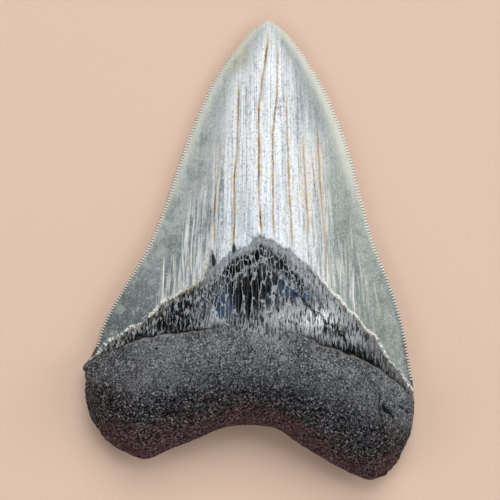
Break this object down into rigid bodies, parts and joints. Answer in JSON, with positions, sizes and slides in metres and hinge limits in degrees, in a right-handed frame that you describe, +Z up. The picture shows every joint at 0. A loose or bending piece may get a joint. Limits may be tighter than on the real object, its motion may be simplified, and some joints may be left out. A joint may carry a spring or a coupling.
{
  "type": "megalodon tooth",
  "caption": "Fossil megalodon tooth lying on its outer face: a broad serrated triangular crown, a dark chevron band at its base and a thick two-lobed root.",
  "frame": {"origin": "centre of the bounding box, on the surface that the tooth lies on", "axes": "+X across the tooth, +Y from the root to the tip, +Z up out of the lingual (inner) face"},
  "size_m": [0.0886, 0.1242, 0.0259],
  "materials": {
    "fossil": "mineralised tooth: polished grey-white enamel with fine lengthwise cracks stained ochre, a glossy near-black bourlette, and a matt charcoal root with a sandpaper grain that turns maroon-brown at its margin"
  },
  "bodies": {
    "root": {"tooth": "fossil"}
  },
  "joints": []
}
